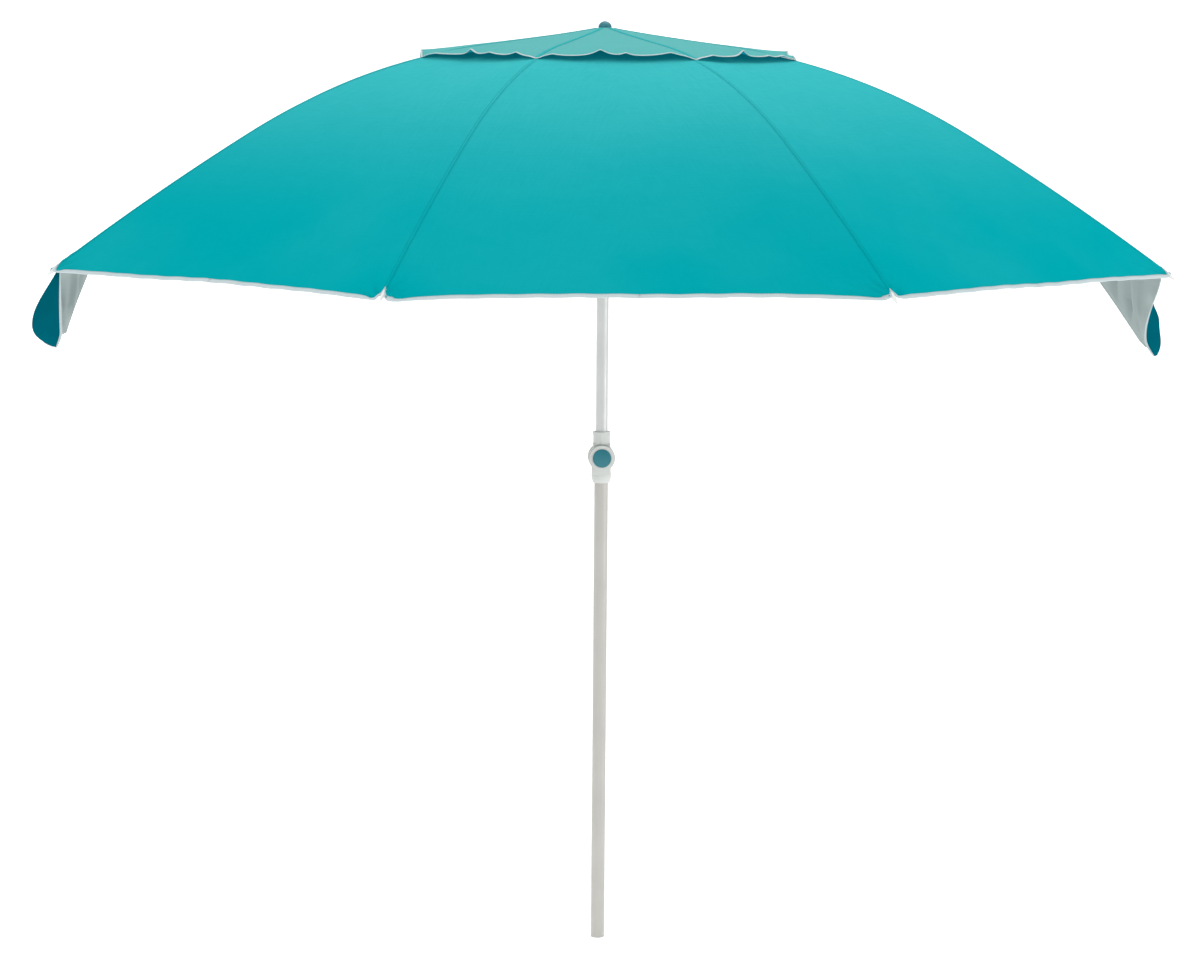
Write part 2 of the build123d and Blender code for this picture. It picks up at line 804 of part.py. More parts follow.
print("cloth corner", round(corner_x, 1), round(corner_z, 1), "slope", round(degrees(corner_slope), 1))
print("stretcher joint", round(joint_x, 2), round(joint_z, 2), "arm", round(arm_length, 3))
print("runner pins at", round(runner_height, 2), "catch top", round(catch_top, 2))
print("side hem", round(hem_x, 1), round(hem_half, 1), round(hem_z, 1))
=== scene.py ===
# %% [markdown]
# # A tilting beach umbrella
# The metal and plastic parts of this umbrella come ready made from the CAD model: two poles, the
# tilt joint, the hub, the runner, eight ribs and eight stretchers. They could be drawn again here,
# but they already have their true shape, so they only get their finishes. What Blender adds is
# everything sewn: the canopy, its bound hem and seams, the vent tier over the top, and the two
# flaps that hang at the sides.

# %% Load the frame
import math

import bpy
import numpy as np
from mathutils import Matrix


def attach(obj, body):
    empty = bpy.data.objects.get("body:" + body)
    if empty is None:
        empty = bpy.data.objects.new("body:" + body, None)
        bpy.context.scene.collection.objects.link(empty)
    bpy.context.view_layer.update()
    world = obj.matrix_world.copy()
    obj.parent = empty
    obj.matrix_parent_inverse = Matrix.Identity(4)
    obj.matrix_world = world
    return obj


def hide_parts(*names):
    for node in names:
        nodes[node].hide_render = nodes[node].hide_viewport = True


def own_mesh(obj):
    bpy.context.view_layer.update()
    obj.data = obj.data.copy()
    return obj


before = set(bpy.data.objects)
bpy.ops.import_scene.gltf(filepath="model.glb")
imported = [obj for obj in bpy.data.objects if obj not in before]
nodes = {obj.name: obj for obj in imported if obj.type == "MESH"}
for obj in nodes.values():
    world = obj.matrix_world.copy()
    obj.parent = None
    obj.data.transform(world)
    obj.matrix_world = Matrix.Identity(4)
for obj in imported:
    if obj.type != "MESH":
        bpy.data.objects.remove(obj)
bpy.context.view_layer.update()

# %% [markdown]
# ## The camera
# A long lens from six metres away, at about the height of the canopy's top, looking slightly down.
# A shorter lens nearer by would make the front gore bulge, so the distance comes first and the lens
# follows from it. The tiny roll is that of a hand-held camera. The standard view keeps the strong
# teal of the cloth, which a film-like view would wash out.

# %% Camera
CAMERA_PLACE = (-0.358, -6.042, 1.623)
CAMERA_HEADING = math.radians(3.37)
CAMERA_PITCH = math.radians(7.25)
CAMERA_ROLL = math.radians(0.48)

camera = bpy.data.objects.new("camera", bpy.data.cameras.new("camera"))
bpy.context.scene.collection.objects.link(camera)
camera.data.sensor_width = 36.0
camera.data.lens = 100.6
camera.matrix_world = (
    Matrix.Translation(CAMERA_PLACE)
    @ Matrix.Rotation(-CAMERA_HEADING, 4, "Z")
    @ Matrix.Rotation(math.pi / 2 - CAMERA_PITCH, 4, "X")
    @ Matrix.Rotation(CAMERA_ROLL, 4, "Z")
)
bpy.context.scene.camera = camera
bpy.context.scene.view_settings.view_transform = "Standard"
print("camera lens:", camera.data.lens, "mm")

# %% [markdown]
# ## Surfaces from a grid
# Each sewn piece is a grid of points: one direction of the grid runs across the cloth and the other
# along it. A plane with many subdivisions could be pushed into shape by hand, but a formula for the
# whole grid gives neighbouring pieces exactly the same edge, so no gap shows between them. Numpy
# works out all the points at once.

# %% Grid helpers


def grid_quads(rows, columns):
    """Quads of a grid numbered row by row: each joins a point, the next, and the two below."""
    index = np.arange(rows * columns).reshape(rows, columns)
    corners = [index[:-1, :-1], index[1:, :-1], index[1:, 1:], index[:-1, 1:]]
    return np.stack(corners, axis=-1).reshape(-1, 4)


def make_object(name, points, faces, materials):
    """A smooth mesh object at the origin from an array of points and a list of faces."""
    mesh = bpy.data.meshes.new(name)
    mesh.from_pydata(points.reshape(-1, 3).tolist(), [], faces, shade_flat=False)
    for finish in materials:
        mesh.materials.append(finish)
    piece = bpy.data.objects.new(name, mesh)
    bpy.context.scene.collection.objects.link(piece)
    return piece


def add_uv(piece, corner_uv):
    """Gives the mesh a UV map, in metres, from one (across, along) pair for each face corner."""
    layer = piece.data.uv_layers.new(name="cloth")
    layer.data.foreach_set("uv", corner_uv.astype(np.float32).ravel())


def sheet_surface(name, points, uv, materials):
    """An open cloth surface from a rows x columns grid. Its border edges are marked sharp, so that a
    wall added later doesn't pull the shading round with it."""
    rows, columns = points.shape[:2]
    quads = grid_quads(rows, columns)
    piece = make_object(name, points, quads.tolist(), materials)
    add_uv(piece, uv.reshape(-1, 2)[quads.ravel()])
    border = np.zeros((rows, columns), dtype=bool)
    border[[0, -1], :] = True
    border[:, [0, -1]] = True
    ends = np.empty(len(piece.data.edges) * 2, dtype=np.int64)
    piece.data.edges.foreach_get("vertices", ends)
    on_border = border.ravel()[ends.reshape(-1, 2)].all(axis=1)
    sharp = piece.data.attributes.new("sharp_edge", "BOOLEAN", "EDGE")
    sharp.data.foreach_set("value", on_border)
    return piece


def strip_surface(name, points, uv, materials):
    """A closed strip: each row of the grid is a closed profile, carried along a path, with both ends
    capped. The UV grid has one column more than the profile, where it comes back to its start."""
    rows, columns = points.shape[:2]
    wide = grid_quads(rows, columns + 1)
    row, column = wide // (columns + 1), wide % (columns + 1)
    quads = row * columns + column % columns
    caps = [list(range(columns)), list(range(rows * columns - 1, (rows - 1) * columns - 1, -1))]
    piece = make_object(name, points, quads.tolist() + caps, materials)
    corner_uv = np.vstack([uv.reshape(-1, 2)[wide.ravel()], np.zeros((2 * columns, 2))])
    add_uv(piece, corner_uv)
    return piece


def thicken(piece, thickness, inside=0):
    """Gives a sheet its wall, inwards from the surface; inside is how many material slots further on
    the inner face's finish is."""
    wall = piece.modifiers.new("wall", "SOLIDIFY")
    wall.thickness = thickness
    wall.offset = -1.0
    wall.material_offset = inside
    return piece


def unit(vectors):
    """Vectors scaled to length one."""
    return vectors / np.linalg.norm(vectors, axis=-1, keepdims=True)


# %% [markdown]
# ## Building blocks for the finishes
# A real surface is never one flat colour: cloth shows its weave and fades a little, paint has fine
# runs and rubs, moulded plastic has a faint grain. These effects are used by several finishes, so
# each is a node group, built once and given its own numbers in every material. A group hands out
# only masks, tones and heights; the shader itself stays in the material.

# %% Node helpers


def new_group(name, inputs, outputs):
    """An empty node group with number inputs (label, value) and number outputs."""
    group = bpy.data.node_groups.new(name, "ShaderNodeTree")
    for label, value in inputs:
        socket = group.interface.new_socket(label, in_out="INPUT", socket_type="NodeSocketFloat")
        socket.default_value = value
    for label in outputs:
        group.interface.new_socket(label, in_out="OUTPUT", socket_type="NodeSocketFloat")
    return group, group.nodes.new("NodeGroupInput").outputs, group.nodes.new("NodeGroupOutput").inputs


def feed(tree, socket, value):
    """Links a node's output to a socket, or sets the socket to a plain value."""
    if isinstance(value, bpy.types.NodeSocket):
        tree.links.new(value, socket)
    else:
        socket.default_value = value


def calculate(tree, operation, *values):
    """A Math node of numbers or other nodes' outputs."""
    node = tree.nodes.new("ShaderNodeMath")
    node.operation = operation
    for socket, value in zip(node.inputs, values):
        feed(tree, socket, value)
    return node.outputs[0]


def noise(tree, coordinates, scale, detail=3.0):
    """A Noise node's value on the given coordinates."""
    node = tree.nodes.new("ShaderNodeTexNoise")
    feed(tree, node.inputs["Vector"], coordinates)
    feed(tree, node.inputs["Scale"], scale)
    feed(tree, node.inputs["Detail"], detail)
    return node.outputs["Fac"]


def spread(tree, value, low, high):
    """Stretches a value between two limits to run from 0 to 1, with soft ends."""
    node = tree.nodes.new("ShaderNodeMapRange")
    node.interpolation_type = "SMOOTHSTEP"
    feed(tree, node.inputs["Value"], value)
    feed(tree, node.inputs["From Min"], low)
    feed(tree, node.inputs["From Max"], high)
    return node.outputs["Result"]


def mix_colour(tree, share, first, second):
    """A colour between two colours."""
    node = tree.nodes.new("ShaderNodeMix")
    node.data_type = "RGBA"
    feed(tree, node.inputs[0], share)
    feed(tree, node.inputs[6], first)
    feed(tree, node.inputs[7], second)
    return node.outputs[2]


def stretch(tree, coordinates, factors):
    """Coordinates scaled along each axis, so that a pattern runs one way."""
    node = tree.nodes.new("ShaderNodeMapping")
    feed(tree, node.inputs["Vector"], coordinates)
    node.inputs["Scale"].default_value = factors
    return node.outputs["Vector"]


# %% Weave group
# Two sets of threads cross: the height is the product of a sine across and a sine along, and slubs,
# the thicker lengths of yarn, come from noise drawn out along each thread.
weave, given, handed = new_group(
    "cloth weave", [("Threads per metre", 1400.0), ("Slub", 0.5)], ["Height", "Tone"]
)
cloth_uv = weave.nodes.new("ShaderNodeTexCoord").outputs["UV"]
cloth_axes = weave.nodes.new("ShaderNodeSeparateXYZ")
weave.links.new(cloth_uv, cloth_axes.inputs[0])
turns = calculate(weave, "MULTIPLY", given["Threads per metre"], math.pi)
warp = calculate(weave, "SINE", calculate(weave, "MULTIPLY", cloth_axes.outputs[0], turns))
weft = calculate(weave, "SINE", calculate(weave, "MULTIPLY", cloth_axes.outputs[1], turns))
slub_warp = noise(weave, stretch(weave, cloth_uv, (420.0, 22.0, 1.0)), 1.0)
slub_weft = noise(weave, stretch(weave, cloth_uv, (22.0, 420.0, 1.0)), 1.0)
slubs = calculate(weave, "ADD", slub_warp, slub_weft)
weave.links.new(
    calculate(weave, "MULTIPLY_ADD", slubs, given["Slub"], calculate(weave, "MULTIPLY", warp, weft)),
    handed["Height"],
)
weave.links.new(spread(weave, slubs, 0.7, 1.3), handed["Tone"])

# %% Stitch group
# A row of stitches lies at one distance from a seam: the mask is one where the distance is right and
# the length along the seam, divided by the pitch, is in the thread's part of each step.
stitch, given, handed = new_group(
    "row of stitches", [("Distance", 0.003), ("Pitch", 0.005)], ["Mask"]
)
stitch_axes = stitch.nodes.new("ShaderNodeSeparateXYZ")
stitch.links.new(stitch.nodes.new("ShaderNodeTexCoord").outputs["UV"], stitch_axes.inputs[0])
from_seam = calculate(stitch, "ABSOLUTE", stitch_axes.outputs[0])
off_row = calculate(stitch, "ABSOLUTE", calculate(stitch, "SUBTRACT", from_seam, given["Distance"]))
near_row = calculate(stitch, "LESS_THAN", off_row, 0.00045)
step = calculate(
    stitch, "FRACT", calculate(stitch, "DIVIDE", stitch_axes.outputs[1], given["Pitch"])
)
stitch.links.new(
    calculate(stitch, "MULTIPLY", near_row, calculate(stitch, "LESS_THAN", step, 0.68)),
    handed["Mask"],
)

# %% Patina group
# Soft patches for dirt and fading, fine grain for moulded or painted surfaces, and scratches drawn
# out along the height, all on the object's own coordinates.
patina, given, handed = new_group(
    "patina", [("Patch size", 6.0), ("Grain size", 900.0)], ["Patches", "Grain", "Scratches"]
)
own_place = patina.nodes.new("ShaderNodeTexCoord").outputs["Object"]
patches = noise(patina, own_place, given["Patch size"], 5.0)
patina.links.new(spread(patina, patches, 0.35, 0.7), handed["Patches"])
patina.links.new(noise(patina, own_place, given["Grain size"], 2.0), handed["Grain"])
drawn_out = noise(patina, stretch(patina, own_place, (620.0, 620.0, 9.0)), 1.0, 4.0)
patina.links.new(spread(patina, drawn_out, 0.62, 0.72), handed["Scratches"])
print("node groups:", [group.name for group in bpy.data.node_groups])


# %% Material helpers


def new_material(name):
    """A material with its Principled shader, ready for the nodes that feed it."""
    material = bpy.data.materials.new(name)
    material.use_nodes = True
    return material, material.node_tree, material.node_tree.nodes["Principled BSDF"]


def use_group(tree, group, **values):
    """Places a group in a material and sets its inputs."""
    node = tree.nodes.new("ShaderNodeGroup")
    node.node_tree = group
    for label, value in values.items():
        node.inputs[label.replace("_", " ")].default_value = value
    return node.outputs


def add_bump(tree, shader, height, depth, strength=1.0):
    """Feeds the shader's normal from a height, with its depth in metres."""
    bump = tree.nodes.new("ShaderNodeBump")
    bump.inputs["Distance"].default_value = depth
    bump.inputs["Strength"].default_value = strength
    tree.links.new(height, bump.inputs["Height"])
    tree.links.new(bump.outputs["Normal"], shader.inputs["Normal"])


# %% [markdown]
# ## Cloth finishes
# The canopy is a tightly woven polyester, teal outside and coated silver-grey inside against the
# sun. The coating is smoother than the weave, so the inside shines a little more. Every cloth is
# painted lighter towards the top, a painted highlight for the light from above, mixed with soft
# patches of real fading. One helper makes every cloth, because only the colours and the amounts differ.

# %% Cloth finishes


def cloth_material(
    name, colour, highlight_and_faded, rough=0.66, sheen=0.0, bump=0.00006, stitches=(), thread=None, painted_glow=0.0
):
    """Woven cloth: its colour runs from the highlight colour near the top to full colour lower down,
    a painted highlight for the light from above, with soft patches of real fading, slubs, and rows of
    stitches at the given distances from the seam. The glow is painted light: the cloth gives off light
    in its own colour, which lightens it where it lies in shade."""
    material, tree, shader = new_material(name)
    shader.inputs["Emission Color"].default_value = (*colour, 1)
    # Painted light: the glow makes the cloth give off light in its own colour.
    shader.inputs["Emission Strength"].default_value = painted_glow
    threads = use_group(tree, weave)
    aged = use_group(tree, patina, Patch_size=3.2)
    place = tree.nodes.new("ShaderNodeSeparateXYZ")
    tree.links.new(tree.nodes.new("ShaderNodeTexCoord").outputs["Object"], place.inputs[0])
    # Painted highlight: the colour goes over to the highlight colour with the height, as the light from above
    # makes the top look paler; the patches add real fading.
    height = spread(tree, place.outputs["Z"], 1.28, 1.68)
    highlight_and_fade = calculate(tree, "MULTIPLY_ADD", aged["Patches"], 0.10, calculate(tree, "POWER", height, 1.6))
    tint = mix_colour(tree, highlight_and_fade, (*colour, 1), (*highlight_and_faded, 1))
    darker = tuple(part * 0.86 for part in colour)
    tint = mix_colour(tree, calculate(tree, "MULTIPLY", threads["Tone"], 0.22), tint, (*darker, 1))
    relief = threads["Height"]
    for distance in stitches:
        row = use_group(tree, stitch, Distance=distance)["Mask"]
        tint = mix_colour(tree, row, tint, (*(thread or highlight_and_faded), 1))
        relief = calculate(tree, "MULTIPLY_ADD", row, 3.0, relief)
    tree.links.new(tint, shader.inputs["Base Color"])
    tree.links.new(
        calculate(tree, "MULTIPLY_ADD", aged["Patches"], 0.10, rough), shader.inputs["Roughness"]
    )
    shader.inputs["Sheen Weight"].default_value = sheen
    shader.inputs["Sheen Roughness"].default_value = 0.5
    shader.inputs["Specular IOR Level"].default_value = 0.0
    add_bump(tree, shader, relief, bump)
    return material


TEAL = (0.0, 0.345, 0.385)
# Teal lightened and greyed: the painted highlight at the top of the cloth, and real fading.
TEAL_HIGHLIGHT_AND_FADED = (0.055, 0.475, 0.49)
# The canopy's teal darkened: painted shade for the flaps' outer face, which hangs in shade.
TEAL_PAINTED_SHADE = (0.0, 0.105, 0.145)
SILVER_GREY = (0.40, 0.46, 0.455)
HEM_WHITE = (0.53, 0.61, 0.63)
THREAD = (0.0, 0.25, 0.29)

cloth_outside = cloth_material("teal cloth", TEAL, TEAL_HIGHLIGHT_AND_FADED)
cloth_inside = cloth_material(
    "silver coated lining", SILVER_GREY, (0.60, 0.63, 0.62), rough=0.48, sheen=0.0, bump=0.00003
)
# The vent's teal is painted lighter and greyer than the canopy's: a painted highlight for the light glancing
# off the top.
vent_outside_highlight = cloth_material("vent cloth painted highlight", (0.07, 0.40, 0.41), (0.12, 0.43, 0.42))
# The vent's underside glows teal: painted light, so that the shade under the vent's free edge looks lit.
vent_inside_glowing = cloth_material("vent underside painted glow", (0.0, 0.33, 0.40), (0.0, 0.33, 0.40), painted_glow=0.55)
seam_cloth = cloth_material(
    "sewn seam", TEAL, TEAL_HIGHLIGHT_AND_FADED, bump=0.00012, stitches=(0.0026,), thread=THREAD
)
# The flaps' dyed face is the darkened teal, painted shade, from top to bottom.
flap_outside_shaded = cloth_material("flap cloth painted shade", TEAL_PAINTED_SHADE, TEAL_PAINTED_SHADE)
binding = cloth_material(
    "hem binding", HEM_WHITE, (0.62, 0.68, 0.69), rough=0.7, bump=0.00010,
    stitches=(0.0010,), thread=(0.45, 0.56, 0.58),
)
print("cloth finishes ready")

# %% [markdown]
# ## Hard finishes
# The lower pole has a satin powder coat, the upper pole a glossier silver paint, and the ribs a white
# coating over steel rod. The knuckles of the tilt joint are moulded from light grey plastic, with a
# fine spark-eroded grain, and the button and the finial from teal plastic. Metallic shaders alone
# would look like chrome, so paint is a plain base under a thin clear coat.

# %% Hard finishes


def hard_material(
    name, colour, worn, rough, metallic=0.0, coat=0.0, grain=0.00002, patch=9.0, grit=1100.0
):
    """Paint, plastic or plated metal: patches and scratches mix towards the worn colour and change
    the roughness, and grain gives the surface its bump."""
    material, tree, shader = new_material(name)
    aged = use_group(tree, patina, Patch_size=patch, Grain_size=grit)
    rubbed = calculate(
        tree, "MULTIPLY_ADD", aged["Scratches"], 0.25, calculate(tree, "MULTIPLY", aged["Patches"], 0.35)
    )
    tree.links.new(mix_colour(tree, rubbed, (*colour, 1), (*worn, 1)), shader.inputs["Base Color"])
    tree.links.new(
        calculate(tree, "MULTIPLY_ADD", aged["Patches"], 0.12, rough), shader.inputs["Roughness"]
    )
    shader.inputs["Metallic"].default_value = metallic
    shader.inputs["Coat Weight"].default_value = coat
    shader.inputs["Coat Roughness"].default_value = 0.12
    relief = calculate(tree, "MULTIPLY_ADD", aged["Scratches"], -0.6, aged["Grain"])
    add_bump(tree, shader, relief, grain)
    return material


lower_paint = hard_material("powder coat", (0.50, 0.485, 0.455), (0.43, 0.42, 0.40), 0.36, 0.25, 0.15)
upper_paint = hard_material("silver paint", (0.60, 0.61, 0.60), (0.50, 0.51, 0.50), 0.27, 0.45, 0.35)
joint_plastic = hard_material(
    "moulded grey plastic", (0.62, 0.635, 0.615), (0.55, 0.56, 0.54), 0.42, grain=0.00004
)
teal_plastic = hard_material("teal plastic", (0.0, 0.150, 0.195), (0.0, 0.19, 0.23), 0.33, coat=0.2)
plated_steel = hard_material(
    "plated steel", (0.58, 0.58, 0.57), (0.42, 0.41, 0.39), 0.30, 1.0, grain=0.00001
)
black_nylon = hard_material("black nylon", (0.035, 0.035, 0.037), (0.06, 0.06, 0.06), 0.45)
white_plastic = hard_material(
    "white plastic", (0.76, 0.78, 0.77), (0.68, 0.69, 0.67), 0.40, grain=0.00004
)
rib_paint = hard_material("rib coating", (0.70, 0.71, 0.70), (0.58, 0.58, 0.57), 0.32, 0.15, 0.25)

# %% Finish the CAD pieces
FINISHES = {
    lower_paint: ["lower_pole"],
    upper_paint: ["upper_pole"],
    joint_plastic: ["lower_knuckle", "upper_knuckle"],
    teal_plastic: ["tilt_button", "finial"],
    plated_steel: [
        "tilt_axle", "tilt_spring", "runner_catch", "lower_socket_rivet", "upper_socket_rivet",
        "hub_ring_wire", "runner_ring_wire",
    ],
    black_nylon: ["tilt_lock_gear"],
    white_plastic: ["top_hub", "runner", "rib_tip", "rib_joint"],
    rib_paint: ["rib", "stretcher"],
}


def finish_of(node_name):
    """The finish of a CAD piece, by its name or, for pieces made eight times, by its name's stem."""
    stem = node_name.rstrip("0123456789").rstrip("_")
    found = [finish for finish, names in FINISHES.items() if node_name in names or stem in names]
    return found[0] if found else None


for node_name, piece in nodes.items():
    finish = finish_of(node_name)
    if finish:
        piece.data.materials.clear()
        piece.data.materials.append(finish)
print("finished CAD pieces:", sum(finish_of(name) is not None for name in nodes))

# %% [markdown]
# ## The line of a rib
# Everything sewn follows the ribs, so their line comes first: straight from the hub, then a bend,
# then an almost straight outer arc. The same sizes were used for the metal ribs. A Bezier curve
# could be laid along them by eye, but a formula keeps the cloth half a millimetre off the rods
# everywhere.

# %% Rib line
RIBS = 8
HALF_STEP = math.pi / RIBS
PIN_CIRCLE = 0.020
HUB_HEIGHT = 1.658
RIB_SLOPE = math.radians(7.4)
RIB_STRAIGHT = 0.215
BEND_RADIUS = 1.155
BEND_LENGTH = BEND_RADIUS * math.radians(23.0)
OUTER_RADIUS = 4.9
CORNER_STATION = RIB_STRAIGHT + BEND_LENGTH + OUTER_RADIUS * math.radians(4.75)
CLOTH = 0.0005
CLOTH_LIFT = 0.00225 + 0.0005 + CLOTH


def rib_angle(rib):
    """Direction of a rib about the pole: an eighth of a turn apart, rib 0 right of the front."""
    return -math.pi / 2 + HALF_STEP + 2 * HALF_STEP * rib


def rib_line(station):
    """Distance from the pole, height and slope at a length along a rib. On an arc the slope grows by
    length / radius, the distance by radius x (sine after - sine before), and the height falls by
    radius x (cosine before - cosine after)."""
    straight = np.minimum(station, RIB_STRAIGHT)
    bend = np.clip(station - RIB_STRAIGHT, 0, BEND_LENGTH)
    outer = np.maximum(station - RIB_STRAIGHT - BEND_LENGTH, 0)
    middle = RIB_SLOPE + bend / BEND_RADIUS
    slope = middle + outer / OUTER_RADIUS
    distance = (
        PIN_CIRCLE
        + straight * np.cos(RIB_SLOPE)
        + BEND_RADIUS * (np.sin(middle) - np.sin(RIB_SLOPE))
        + OUTER_RADIUS * (np.sin(slope) - np.sin(middle))
    )
    height = (
        HUB_HEIGHT
        - straight * np.sin(RIB_SLOPE)
        - BEND_RADIUS * (np.cos(RIB_SLOPE) - np.cos(middle))
        - OUTER_RADIUS * (np.cos(middle) - np.cos(slope))
    )
    return distance, height, slope


print("rib ends at", [round(float(value), 4) for value in rib_line(CORNER_STATION)])

# %% [markdown]
# ## The cloth between two ribs
# A gore is the piece of cloth between two ribs. Each point of it lies between the points at the same
# station on its two ribs, and is then pushed a little off that straight line: the cloth sags inward
# midway, drifts in long soft waves, puckers beside the seams where the thread draws it in, and
# creases fan out from each corner where the rib's tip pulls. A cloth simulation could find these
# folds, but a taut canopy hardly moves, and formulas keep every pose and every neighbour in step.

# %% Gore surface
chance = np.random.default_rng(11)
PHASES = chance.uniform(0, 2 * math.pi, (RIBS, 6))
SAG = 0.0055
HEM_LONG = 0.775


HEM_DROP = 0.0135
CORNER_REACH = 0.13
NOTCH_REACH = 0.006
CORNER_DROP = np.array([0.009, 0.010, 0.008, 0.011, 0.009, 0.008, 0.010, 0.019])


def hem_station(gore, across):
    """Where the hem is along the rib's line. Beside each tip the cloth reaches past the rib, by its
    own drop, and towards the middle it is drawn up a little: all are exponentials of the distance
    from the rib."""
    left, right = across * HEM_LONG, (1 - across) * HEM_LONG
    drop = HEM_DROP + CORNER_DROP[gore] * np.exp(-left / CORNER_REACH)
    drop = drop + CORNER_DROP[(gore + 1) % RIBS] * np.exp(-right / CORNER_REACH)
    return CORNER_STATION + drop * (1 - np.exp(-np.minimum(left, right) / NOTCH_REACH))


def cloth_relief(gore, station, across, width):
    """How far the cloth is off its flat gore, outwards in metres. The sag is a parabola across; the
    waves are slow sines; puckers are short sines that die away from the seam; creases are sines of
    the angle about a corner that die away with distance from it."""
    phase = PHASES[gore]
    side = np.minimum(across, 1 - across) * width
    up = hem_station(gore, across) - station
    share = np.clip(station / CORNER_STATION, 0, 1)
    arch = 4 * across * (1 - across)
    sag = -SAG * arch * np.sin(math.pi * np.clip(share * 0.92, 0, 1)) ** 0.8
    waves = 0.0011 * arch * share * np.sin(9.0 * across + 5.0 * share + phase[..., 0])
    waves += 0.0007 * arch * share * np.sin(17.0 * across - 8.0 * share + phase[..., 1])
    drawn_in = 1 - np.exp(-((side / 0.005) ** 2))
    pucker_turn = 2 * math.pi * (station + 0.7 * side) / 0.019 + phase[..., 2]
    pucker = drawn_in * np.exp(-side / 0.014) * np.sin(pucker_turn)
    pucker *= 0.00035 + 0.0006 * np.exp(-up / 0.07)
    reach = np.hypot(side, up)
    turn = np.arctan2(np.maximum(up, 0), side + 1e-6)
    fan = np.sin(11.0 * turn + phase[..., 3]) + 0.6 * np.sin(19.0 * turn + phase[..., 4])
    creases = 0.0019 * drawn_in * (reach / 0.019) * np.exp(1 - reach / 0.019) * fan
    wide_fan = np.sin(6.0 * turn + phase[..., 5])
    creases += 0.0004 * drawn_in * (reach / 0.06) * np.exp(1 - reach / 0.06) * wide_fan
    ripple_turn = 2 * math.pi * across * width / 0.062 + phase[..., 1]
    ripple = 0.0007 * np.exp(-np.maximum(up, 0) / 0.02) * arch * np.sin(ripple_turn)
    return sag + waves + pucker + creases + ripple


def gore_frame(gore, across, distance, height):
    """The straight-line point between two ribs at the same station."""
    left = rib_angle(gore)
    right = rib_angle(gore + 1)
    x = distance * ((1 - across) * np.cos(left) + across * np.cos(right))
    y = distance * ((1 - across) * np.sin(left) + across * np.sin(right))
    return np.stack([x, y, np.broadcast_to(height, x.shape)], axis=-1)


def gore_normal(gore, slope):
    """The outward direction of a flat gore, which is steeper than its ribs are flat."""
    middle = rib_angle(gore) + HALF_STEP
    steep = np.arctan(np.tan(slope) / math.cos(HALF_STEP))
    parts = [np.sin(steep) * np.cos(middle), np.sin(steep) * np.sin(middle), np.cos(steep)]
    return np.stack(np.broadcast_arrays(*parts), axis=-1)


def split_reach(rib, reach):
    """The gore, and the place across it, of a reach from -1 (midway to the rib before) to 1."""
    before = reach < 0
    gore = np.where(before, (rib - 1) % RIBS, rib)
    return gore, np.where(before, 1 + reach / 2, reach / 2)


def ridge_line(station):
    """The cloth's outer line over a rib, lifted so that both flat gores clear the rod."""
    distance, height, slope = rib_line(station)
    lift = CLOTH_LIFT / np.cos(np.sin(HALF_STEP) * np.sin(slope))
    return distance + lift * np.sin(slope), height + lift * np.cos(slope), slope


def cloth_point(rib, station, reach, proud=0.0):
    """A point of the canopy's outer surface, at a station along a rib and a reach to either side."""
    gore, across = split_reach(rib, reach)
    distance, height, slope = ridge_line(station)
    width = 2 * distance * math.sin(HALF_STEP)
    relief = cloth_relief(gore, station, across, width) + proud
    return gore_frame(gore, across, distance, height) + gore_normal(gore, slope) * relief[..., None]


# %% [markdown]
# ## Canopy panels
# On the real umbrella the eight gores are sewn into one sheet. To fold with the ribs, the sheet is
# cut here midway between the ribs, into eight panels that each ride on one rib; both sides of a cut
# use the same formula, so the sheet still looks whole. The grid is finer near the rib and the hem,
# where the small creases are. When the umbrella folds, real cloth falls into pleats; these panels
# only ride on their ribs.

# %% Canopy panels
HOLE_STATION = (0.150 - PIN_CIRCLE) / math.cos(RIB_SLOPE)


def eased(count, power):
    """Numbers from 0 to 1 that are closer together near 0."""
    return np.linspace(0, 1, count) ** power


def panel_reach(count):
    """Reach across a panel, finer near its rib."""
    half = eased(count, 1.3)
    return np.concatenate([-half[:0:-1], half])


def fold_with_rib(piece, rib):
    """Rides a sewn piece on its rib, on a mesh of its own."""
    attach(piece, f"rib_{rib + 1}")
    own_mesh(piece)


for rib in range(RIBS):
    reach = panel_reach(58)[None, :]
    down = 1 - eased(118, 1.25)[::-1][:, None]
    station = HOLE_STATION + down * (hem_station(*split_reach(rib, reach)) - HOLE_STATION)
    points = cloth_point(rib, station, reach)
    width = 2 * ridge_line(station)[0] * math.sin(HALF_STEP)
    uv = np.stack([reach / 2 * width, np.broadcast_to(station, width.shape)], axis=-1)
    panel = sheet_surface(f"canopy_{rib + 1}", points, uv, [cloth_outside, cloth_inside])
    thicken(panel, CLOTH, inside=1)
    fold_with_rib(panel, rib)
    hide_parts(f"canopy_panel_{rib + 1}")

# %% [markdown]
# ## Seams over the ribs
# Where two gores meet, their edges are folded together and stitched down twice, which leaves a
# narrow raised band along every rib. It could be painted on, but a real strip catches the light on
# both its edges.

# %% Seams
SEAM_HALF = 0.0042

for rib in range(RIBS):
    station = np.linspace(HOLE_STATION + 0.001, CORNER_STATION - 0.004, 150)[:, None]
    offset = np.linspace(-SEAM_HALF, SEAM_HALF, 11)[None, :]
    width = 2 * ridge_line(station)[0] * math.sin(HALF_STEP)
    crown = 0.00045 + 0.00012 * np.cos(offset / SEAM_HALF * math.pi / 2)
    points = cloth_point(rib, station, 2 * offset / width, crown)
    uv = np.stack(np.broadcast_arrays(offset, station), axis=-1)
    seam = sheet_surface(f"canopy_seam_{rib + 1}", points, uv, [seam_cloth])
    thicken(seam, 0.0006)
    fold_with_rib(seam, rib)

# %% [markdown]
# ## Bound hem
# The hem is covered by a white binding folded over the cloth's edge. It is a profile, the outline of
# a flattened U, carried along the hem. The three directions at each point of the hem are the hem's
# own direction, the way down the cloth, and the way out of it.

# %% Hem binding


